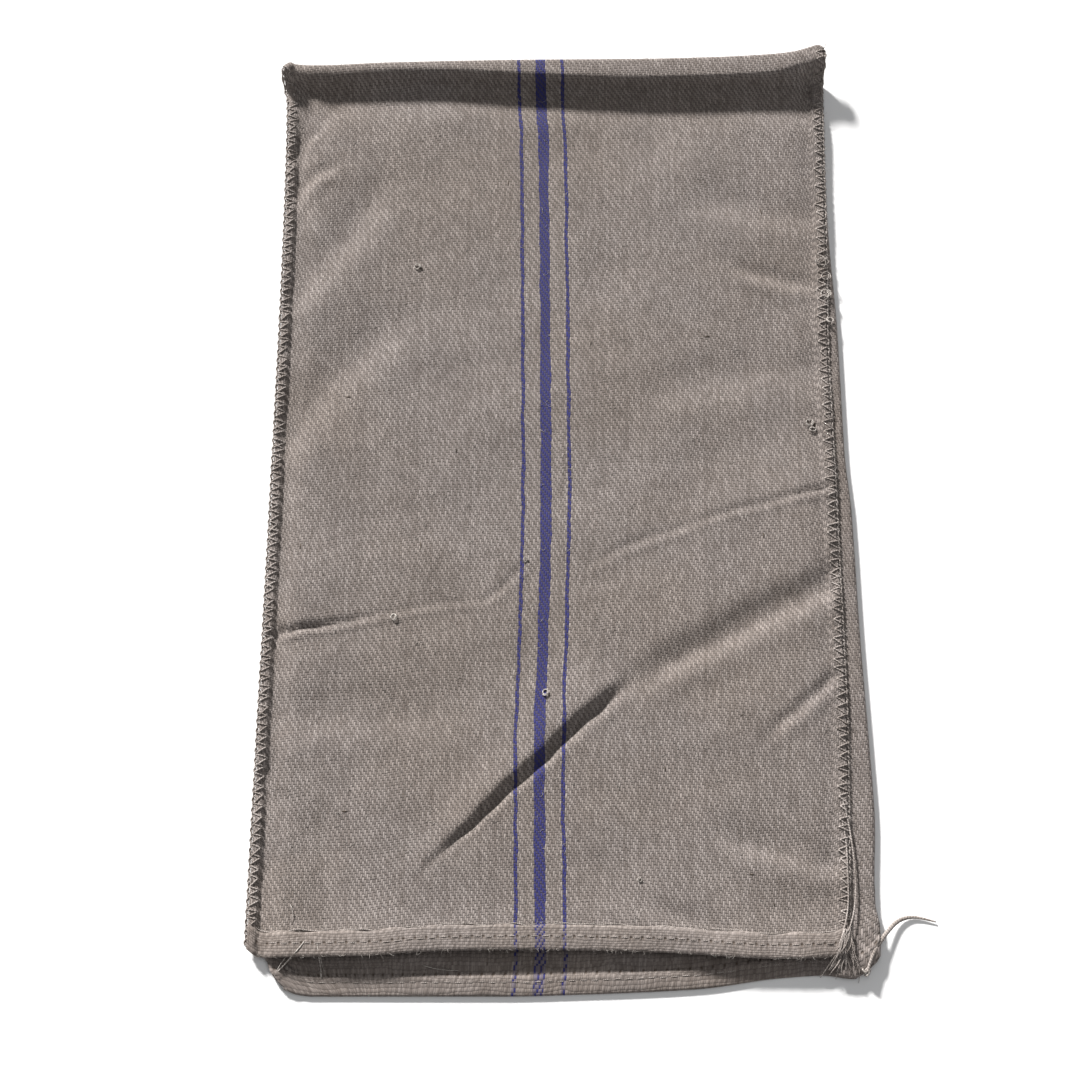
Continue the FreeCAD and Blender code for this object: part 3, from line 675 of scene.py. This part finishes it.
# One sheet: left selvedge, ground, a half-round turn up over the right side and a strip back to the front
# seam, carried from the fold to the mouth and turned under there as the hem.
def backCloth():
    fromCrest = np.concatenate([np.linspace(0, 40, 14), np.linspace(40, 1060, 150)[1:]])
    blendRun = 80
    fromMouth = np.concatenate([np.linspace(blendRun, 32, 12)[1:], np.linspace(30, 22, 7),
                                np.linspace(21, 17, 11), np.linspace(15.5, 0, 8)])
    turn = np.linspace(0, math.pi, 6)[1:-1]
    hem = np.linspace(0, sack["hemDepth"], 8)
    groundRun, groundFlat = sack["groundRun"], sack["groundFlat"]
    across = np.concatenate([np.linspace(0, 34, 12)[:-1], np.linspace(34, groundRun, 92)])
    bend = np.linspace(-math.pi / 2, math.pi / 2, 8)[1:]
    back = np.linspace(0, 1, 9)[1:]
    r = sack["rollRadius"]

    # x and lift over the ground for one row whose points are at y
    def section(y, flatness):
        left = outline("leftEdge", y)
        drawnIn = np.maximum(outline("backLeft", y) - left, 0)
        out, right = outline("rolledEdge", y), outline("rightEdge", y)
        n, m = len(across), len(across) + len(bend)
        floorX = (left + 0.8)[:n] + (across / groundRun) * (out - r - left - 0.8)[:n]
        floorX += drawnIn[:n] * (1 - ease(across / sack["drawInRun"]))
        rise = 6.1 * (1 - ease((across - 4) / 10)) * flatness
        turnX = out[n:m] - r + r * np.cos(bend)
        turnZ = r * (1 + np.sin(bend)) * flatness
        stripX = (out - r)[m:] + ((right - sack["stripUnder"])[m:] - (out - r)[m:]) * back
        stripZ = (2 * r + 0.9 * back - 0.7 * np.sin(back * math.pi)) * flatness
        return np.concatenate([floorX, turnX, stripX]), np.concatenate([rise, turnZ, stripZ])

    rows = []
    stretch = np.concatenate([across * groundFlat / groundRun, groundFlat + r * (bend + math.pi / 2),
                              groundFlat + r * math.pi + sack["stripFlat"] * back])
    flatX = stretch + sack["selvedgeAt"]
    crestFlat = sack["backStart"]
    mouthFlat = crestFlat + sack["clothLength"] + sack["foldGain"]
    crestNear, mouthNear = 583.0, -584.0  # about where those two lines are, as first guesses
    for w in fromCrest:
        flatness = 0.5 + 0.5 * float(ease(w / 26))
        x, lift = section(np.full(len(flatX), crestNear - w), flatness)
        ys = outline("crest", np.minimum(x, 333)) - w
        rows.append((x, ys, backHeight(x, ys) + lift, np.full_like(x, crestFlat + w)))
    start = last = rows[-1][1]
    for d in fromMouth:
        blend = 1 - d / blendRun
        ys = np.full(len(flatX), mouthNear + d)
        for _ in range(3):
            x, lift = section(ys, 1.0)
            edge = outline("backMouth", x) + d
            ys = np.minimum(edge * blend + (start - (blendRun - d) * 0.6) * (1 - blend), last - 0.2)
        last = ys
        lift = lift * np.where(np.arange(len(lift)) < len(across), 1 - 0.75 * ease((34 - d) / 34), 1.0)
        over = 2.3 * np.exp(-((d - 18.0) / 1.3) ** 2)
        rows.append((x, ys + over, backHeight(x, ys) + lift, np.full_like(x, mouthFlat - d)))
    x, y, z, v = rows[-1]
    gap = sack["hemGap"]
    for a in turn:
        rows.append((x, y - gap / 2 * math.sin(a), z - gap / 2 + gap / 2 * math.cos(a), v + 1))
    for h in hem:
        rows.append((x, y + h, np.maximum(z - gap, sack["sheet"] / 2 + 0.05), v + h + 1))
    x, y, z, v = (np.stack(part) for part in zip(*rows))
    return clothObject("backCloth", x, y, z, np.broadcast_to(flatX, x.shape), v, len(fromCrest) + 30)


front = frontCloth()
back = backCloth()
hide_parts("front_panel", "front_left_selvedge", "front_right_selvedge", "closed_end_fold",
            "front_mouth_hem", "left_stripe_yarns", "centre_stripe_yarns", "right_stripe_yarns")
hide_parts("back_panel", "back_left_selvedge", "back_right_roll", "back_mouth_hem")
for ob in (front, back):
    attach(ob, "root")
print("cloth shaped")

thread = {  # mm
    "seamDepth": 10.5,        # needle holes to edge
    "firstStitch": -528.0,
    "lastLeft": 572.0,
    "lastRight": 592.0,
    "seamRadius": 0.88,
    "purlRadius": 0.85,
    "purlTwist": 0.85,        # how far each strand winds off the middle
    "scallop": 1.3,
    "hemRadius": 0.5,
    "hemInset": 13.0,         # stitch line from the folded edge
    "cutYarnRadius": 0.62,
}


def lastStitch(side):
    return thread["lastLeft"] if side < 0 else thread["lastRight"]


# Overcast stitches down one side: pairs of legs from a needle hole to the edge and round it.
# side is -1 for the left edge and 1 for the right; layer is 1 over the face and -1 under it.
def seamLegs(edge, side, layer, seed):
    chance = np.random.default_rng(seed)
    first, last = thread["firstStitch"], lastStitch(side)
    count = int((last - first) / sack["stitchPitch"])
    y0 = np.linspace(first, last, count) + chance.uniform(-1.6, 1.6, count)
    deep = thread["seamDepth"] + chance.uniform(-2.6, 1.4, count)
    s = np.array([1.0, 0.95, 0.8, 0.55, 0.3, 0.1, 0.0, -0.10, -0.12])
    lift = np.array([-1.0, 0.25, 0.5, 0.65, 0.65, 0.5, 0.1, -0.8, -2.0])
    paths = []
    for lean in (-0.66, 0.36):
        reach = lean * sack["stitchPitch"] * chance.uniform(0.45, 1.2, count)
        y = y0[:, None] + reach[:, None] * (1 - np.clip(s, 0, 1))[None, :]
        e = outline(edge, y)
        x = e - side * deep[:, None] * s[None, :]
        inside = np.where(side > 0, np.minimum(x, e), np.maximum(x, e))
        off = sack["sheet"] / 2 + lift[None, :] if layer > 0 else -3.0 - lift[None, :] * 0.9
        slope = (faceHeight(inside, y + 1) - faceHeight(inside, y - 1)) / 2
        square = np.sqrt(1 + slope ** 2)
        z = np.maximum(faceHeight(inside, y) + off / square, thread["seamRadius"])
        paths.append(np.stack([x, y - off * slope / square, z], axis=-1))
    return np.concatenate(paths)


# Twisted pair of strands along an edge, bulging outward once in each stitch.
def purlPaths(edge, side):
    y = np.arange(thread["firstStitch"] - 3, lastStitch(side) + 1, 1.25)
    turn = y * 2 * math.pi / sack["stitchPitch"]
    e = outline(edge, y)
    middle = faceHeight(e, y) - 0.9
    out = thread["scallop"] * np.abs(np.sin(turn / 2)) + 0.9
    strands = []
    for phase in (0.0, math.pi):
        x = e + side * (out + thread["purlTwist"] * np.cos(turn + phase))
        z = middle + 1.1 * np.sin(turn + phase)
        strands.append(np.stack([x, y, z], axis=-1))
    return np.stack(strands)


def threadObject(name, paths, radii, material, **shape):
    points, faces, uvs = tubes(paths, radii, **shape)
    ob = addPiece(name, points, faces, "alongThread", uvs, (material,))
    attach(ob, "root")
    return ob


for edge, side, label in (("leftEdge", -1, "left"), ("rightEdge", 1, "right")):
    legs = np.concatenate([seamLegs(edge, side, 1, 5 + side), seamLegs(edge, side, -1, 15 + side)])
    ob = threadObject(label + "OvercastStitches", legs, thread["seamRadius"], seamThread, flat=0.8)
    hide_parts(label + "_overcast_stitches")
    ob = threadObject(label + "PurlThread", purlPaths(edge, side), thread["purlRadius"], seamThread)
    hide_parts(label + "_purl_thread")
print("side seams sewn")


# Stitches that hold a hem down: short threads between neighbouring needle holes, sunk at both ends.
def hemStitchPaths(edge, height, x0, x1, shift):
    pitch = cloth["needleHolePitch"]
    k = np.arange(math.ceil(x0 / pitch), math.floor(x1 / pitch))
    s = np.linspace(0, 1, 7)
    x = (k[:, None] + 0.5 + 0.12 + 0.76 * s[None, :]) * pitch + shift
    y = outline(edge, x) + thread["hemInset"] + 0.3 * np.sin(k * 2.1)[:, None]
    sink = np.array([-0.9, -0.1, 0.1, 0.15, 0.1, -0.1, -0.9])
    return np.stack([x, y, height(x, y) + sink[None, :]], axis=-1)


def frontHemTop(x, y):
    return faceHeight(x, y) + sack["hemGap"] + 0.5 + sack["sheet"] / 2


def backTop(x, y):
    return backHeight(x, y) + sack["sheet"] / 2


# Yarn left along the cut edge of the front hem: it wanders off the edge and lifts here and there.
def cutEdgePath():
    x = np.linspace(-334, 318, 560)
    wander = 1.1 * np.sin(x / 23.0) + 0.8 * np.sin(x / 9.1 + 1.0) + 0.5 * np.sin(x / 4.3)
    mouth = outline("frontMouth", x)
    y = mouth + sack["hemDepth"] + swell(x, mouth, 17, 46, 0.9) + 0.6 + wander * 0.8
    lift = 1.1 + 0.7 * np.clip(np.sin(x / 31.0), -0.4, 1) + 0.3 * np.sin(x / 7.0)
    z = faceHeight(x, y) + sack["sheet"] / 2 + lift
    return np.stack([x, y, z], axis=-1)[None]


hemLine = hemStitchPaths("frontMouth", frontHemTop, -325, 312, -2.0)
ob = threadObject("frontHemStitches", hemLine, thread["hemRadius"], hemThread)
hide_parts("front_hem_stitches")
hemLine = hemStitchPaths("backMouth", backTop, -292, 325, 2.0)
ob = threadObject("backHemStitches", hemLine, thread["hemRadius"], hemThread)
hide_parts("back_hem_stitches")
threadObject("frontHemCutYarn", cutEdgePath(), thread["cutYarnRadius"], hemThread)
print("hems sewn")

cords = [  # name, the pieces' node, across in mm, length in mm, points along it in mm
    ("longSeamTail", "right_seam_tail_long", 2.0, 237,
     ((309.8, -345, 9.2), (313.8, -351, 11.2), (318.3, -363, 11.2), (324.3, -389, 11.2), (329.3, -435, 11.2),
      (329.3, -483, 11.2), (318.3, -520, 16.4), (300.3, -548, 15), (286.3, -566, 6))),
    ("shortSeamTail", "right_seam_tail_short", 2.0, 169,
     ((309.8, -371, 9.2), (313.8, -377, 11.2), (317.3, -389, 11.2), (321.3, -414, 11.2), (321.3, -452, 11.2),
      (320.3, -490, 12.4), (312.3, -520, 16.4), (306.3, -536, 16.4))),
    ("cornerTwine", "mouth_corner_twine", 3.0, 116,
     ((337.3, -562, 12.5), (342.3, -546, 12), (351.3, -530, 10), (362.3, -515, 7), (374.3, -502, 4),
      (389.3, -497, 2.3), (403.3, -499, 2.0), (417.3, -503, 2.0))),
    ("longHemTail", "left_hem_tail_long", 1.6, 52,
     ((-279.1, -527, 16.2), (-285.1, -536, 18.6), (-295.1, -546, 14.5), (-305.1, -556, 8),
      (-313.1, -563, 5.1))),
    ("shortHemTail", "left_hem_tail_short", 1.6, 43,
     ((-266.1, -527, 16.2), (-265.1, -537, 18.4), (-263.1, -548, 13.5), (-261.1, -558, 7.5),
      (-261.1, -567, 5.4))),
]


# Spline through a cord's own given points, and the fine line read back from it, in metres.
def cordLine(name, points):
    curve = bpy.data.curves.new(name + "Line", "CURVE")
    curve.dimensions = "3D"
    curve.resolution_u = 16
    spline = curve.splines.new("NURBS")
    spline.points.add(len(points) - 1)
    for point, place in zip(spline.points, points):
        point.co = (*(v * mm for v in place), 1.0)
    spline.order_u = 3
    spline.use_endpoint_u = True
    holder = bpy.data.objects.new(name + "Line", curve)
    mesh = bpy.data.meshes.new_from_object(holder)
    line = np.zeros(len(mesh.vertices) * 3, dtype=np.float32)
    mesh.vertices.foreach_get("co", line)
    bpy.data.objects.remove(holder)
    bpy.data.meshes.remove(mesh)
    return line.reshape(-1, 3)


for name, node, across, length, points in cords:
    line = cordLine(name, points)
    n = len(line)
    radius = across / 2 * (0.94 + 0.05 * np.sin(np.linspace(0, 31, n)))
    radius[-3:] *= np.array([0.8, 0.62, 0.5])
    flat, lobes, skin = 1.0, 0.3, tailThread if "Hem" in name else seamThread
    if name == "cornerTwine":  # untwisted and ribbon-like: widest in the middle, drawn out to a tip
        radius = 0.8 + 1.8 * np.sin(np.linspace(0.25, math.pi - 0.02, n)) ** 0.8
        flat, lobes, skin = 0.6, 0.1, seamThread
    ob = threadObject(name, line[None] / mm, radius[None], skin, sides=10, flat=flat, lobes=lobes,
                      lobePitch=across * 3.6)
    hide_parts(node)
print("loose ends laid")

knot = {"place": (337.0, -560.0, 10.2), "across": 1.55, "radius": 1.15, "strands": 54,
        "frayStart": (317.0, -518.0)}


# Small trefoil knot: (sin t + 2 sin 2t, cos t - 2 cos 2t, -1.1 sin 3t).
def knotPaths():
    t = np.linspace(0, 2 * math.pi, 72)
    ring = np.stack([np.sin(t) + 2 * np.sin(2 * t), np.cos(t) - 2 * np.cos(2 * t), -1.1 * np.sin(3 * t)],
                    axis=-1)
    return (ring * knot["across"] + np.array(knot["place"]))[None]


# Frayed strands of the seam's end, one bunch toward the mouth's middle and one toward its corner. Each goes
# down its own length, moves aside by 0.4 * fan * length * t^1.2, and lies on the hem, then on the back cloth.
def frayedEnd():
    chance = np.random.default_rng(40)
    n = knot["strands"]
    t = np.linspace(0, 1, 11)[None, :]
    fan = np.where(chance.random(n) < 0.6, chance.normal(-0.72, 0.16, n), chance.normal(0.4, 0.3, n))
    fan = np.clip(fan, -1, 1)[:, None]
    length = chance.uniform(26, 58, n)[:, None] * (1 - 0.25 * np.abs(fan))
    startX, startY = knot["frayStart"]
    x = startX + chance.uniform(-4, 5, n)[:, None] + fan * length * 0.40 * t ** 1.2
    x += 2.6 * np.sin(t * 6 + fan * 9) * t
    y = startY + chance.uniform(-9, 6, n)[:, None] - length * t * np.sqrt(1 - 0.35 * fan ** 2)
    curl = chance.uniform(-1, 1.3, n)[:, None] * 4.5 * t ** 2
    on = 12.4 + 3.6 * (1 - ease((np.abs(x - 309) - 4) / 10)) * ease((y + 546) / 6)
    z = on + chance.uniform(0, 2.4, n)[:, None] + 1.6 * np.sin(t * 3.0) + curl
    past = np.maximum(outline("backMouth", np.clip(x, -300, 355)) - y, 0)
    z = np.maximum(z - past - 3.5 * t ** 2, 0.7)
    return np.stack([x, y, z], axis=-1)


ob = threadObject("seamEndKnot", knotPaths(), knot["radius"], tailThread, sides=8, lobes=0.25, lobePitch=5.0)
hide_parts("seam_end_knot")
threadObject("frayedSeamEnd", frayedEnd(), np.linspace(0.72, 0.25, 11), seamThread, sides=4)
print("knot tied")

fuzz = {"radius": 0.17, "leftEdge": 300, "rightEdge": 420, "mouth": 260, "crest": 90, "face": 1500}


# Fine hairs: each runs root + heading * length * t, curls sideways with t^2, and lies on or off the cloth.
def hairPaths(x, y, z, heading, length, curl, lift):
    t = np.linspace(0, 1, 5)[None, :]
    bend = heading[:, None] + curl[:, None] * t
    px = x[:, None] + np.cos(bend) * length[:, None] * t
    py = y[:, None] + np.sin(bend) * length[:, None] * t
    pz = z[:, None] + lift[:, None] * np.sin(t * 2.2)
    return np.stack([px, py, np.maximum(pz, 0.3)], axis=-1)


def edgeHairs():
    chance = np.random.default_rng(50)
    groups = []
    for edge, side in (("leftEdge", -1), ("rightEdge", 1)):
        n = fuzz[edge]
        y = chance.uniform(-530, 586, n)
        x = outline(edge, y) + side * chance.uniform(-3, 1.2, n)
        z = faceHeight(outline(edge, y), y) + chance.uniform(-1.6, 1.3, n)
        heading = chance.uniform(-1.2, 1.2, n) + (math.pi if side < 0 else 0)
        groups.append(hairPaths(x, y, z, heading, chance.uniform(2, 9, n), chance.uniform(-1.4, 1.4, n),
                                chance.uniform(-1, 2.0, n)))
    n = fuzz["mouth"]
    x = chance.uniform(-335, 318, n)
    y = outline("frontMouth", x) + np.where(chance.random(n) < 0.45, 26.5, -0.6)
    z = faceHeight(x, y) + sack["sheet"] / 2 + sack["hemGap"] * chance.uniform(0.1, 1.0, n)
    inland = np.where(y - outline("frontMouth", x) > 5, 1.0, -1.0)
    heading = inland * math.pi / 2 + chance.uniform(-1.2, 1.2, n)
    groups.append(hairPaths(x, y, z, heading, chance.uniform(2, 7, n), chance.uniform(-1.5, 1.5, n),
                            chance.uniform(0, 1.6, n)))
    n = fuzz["crest"]
    x = chance.uniform(-335, 328, n)
    y = outline("crest", x) + 3.4
    z = faceHeight(x, outline("crest", x)) - chance.uniform(0, 5, n)
    groups.append(hairPaths(x, y, z, math.pi / 2 + chance.uniform(-1.2, 1.2, n), chance.uniform(2, 6, n),
                            chance.uniform(-1.5, 1.5, n), chance.uniform(-1, 1.5, n)))
    return np.concatenate(groups)


def faceHairs():
    chance = np.random.default_rng(51)
    n = fuzz["face"]
    x, y = chance.uniform(-326, 312, n), chance.uniform(-505, 560, n)
    paths = hairPaths(x, y, np.zeros(n), chance.uniform(0, 2 * math.pi, n), chance.uniform(3, 10, n),
                      chance.uniform(-2.2, 2.2, n), np.zeros(n))
    off = chance.uniform(0.1, 1.3, n)[:, None] * np.sin(np.linspace(0.1, 2.4, 5))[None, :]
    paths[..., 2] = faceHeight(paths[..., 0], paths[..., 1]) + 0.98 + off
    return paths


strays = [  # start in mm, heading in degrees, length, curl, lift
    (331, 592, 36, 50, 14, 0.3, 3), (-297, -486, 13, -58, 20, -0.5, 1.5), (-296, -541, 15, -140, 30, 0.3, -5),
    (-262, -543, 15, -86, 17, 0.2, -6), (-150, -552, 5, -20, 40, 0.2, 0.6), (322, 302, 12, 20, 16, 1.2, 2),
    (326, 270, 12, -30, 14, -1.4, 2), (-336, -420, 9, 170, 9, 1.0, 1),
]


def strayPaths():
    x, y, z, heading, length, curl, lift = np.array(strays, dtype=float).T
    return hairPaths(x, y, z, np.radians(heading), length, curl, lift)


threadObject("strayFibres", strayPaths(), np.array([0.45, 0.42, 0.38, 0.3, 0.2]), tailThread)
hairRadii = fuzz["radius"] * np.array([1.0, 0.95, 0.85, 0.7, 0.4])
threadObject("edgeHairs", edgeHairs(), hairRadii, tailThread, sides=4)
threadObject("faceHairs", faceHairs(), hairRadii, tailThread, sides=4)

snags = [  # middle and radius in mm, turns, sideways stretch
    (-190, -149, 4.6, 1.3, 0.8), (-15, -240, 4.2, 1.4, 0.9), (-170, 303, 4.0, 1.2, 1.0),
    (299, 97, 4.4, 1.5, 1.2), (303, 88, 3.0, 1.2, 1.5), (323, 311, 5.5, 1.3, 1.6),
    (326, 291, 6.8, 1.2, 0.9), (325, 268, 5.4, 1.5, 1.3),
    (329, 232, 4.0, 1.4, 1.2), (-38, -78, 3.4, 1.1, 0.8), (90, -458, 2.6, 1.0, 1.0),
]
specks = [(-168, 301), (297, 99), (305, 94), (240, -47), (90, -457), (214, -452), (238, -486), (-160, -60),
          (-120, 60), (180, 210), (-250, 130), (120, -330), (-60, 420), (250, 380), (-240, -380), (40, 200),
          (-300, -60)]


def snagPaths():
    paths = []
    for cx, cy, r, turns, wide in snags:
        a = np.linspace(0, 2 * math.pi * turns, 26) + cx
        shrink = r * np.linspace(1.0, 0.6, 26)
        x, y = cx + np.cos(a) * shrink * wide, cy + np.sin(a) * shrink
        base = faceHeight(np.clip(x, -332, 326), y)
        paths.append(np.stack([x, y, base + 1.35 + 1.5 * np.abs(np.sin(a / 2 + cy))], axis=-1))
    return np.stack(paths)


def speckPaths():
    chance = np.random.default_rng(52)
    place = np.array(specks, dtype=float)
    turn = np.where(chance.random(len(place)) < 0.6, math.pi / 2, 0.0)
    turn += chance.uniform(-0.25, 0.25, len(place))
    s = np.linspace(-1, 1, 7)[None, :] * chance.uniform(2.0, 5.0, len(place))[:, None]
    x = place[:, :1] + np.cos(turn)[:, None] * s
    y = place[:, 1:] + np.sin(turn)[:, None] * s
    return np.stack([x, y, faceHeight(x, y) + 1.05], axis=-1)


threadObject("snaggedLoops", snagPaths(), 0.62, tailThread)
spindle = 0.95 * np.sin(np.linspace(0.25, math.pi - 0.25, 7))
threadObject("barkSpecks", speckPaths(), spindle, barkThread, flat=0.6)
print("hairs, snags and specks added")
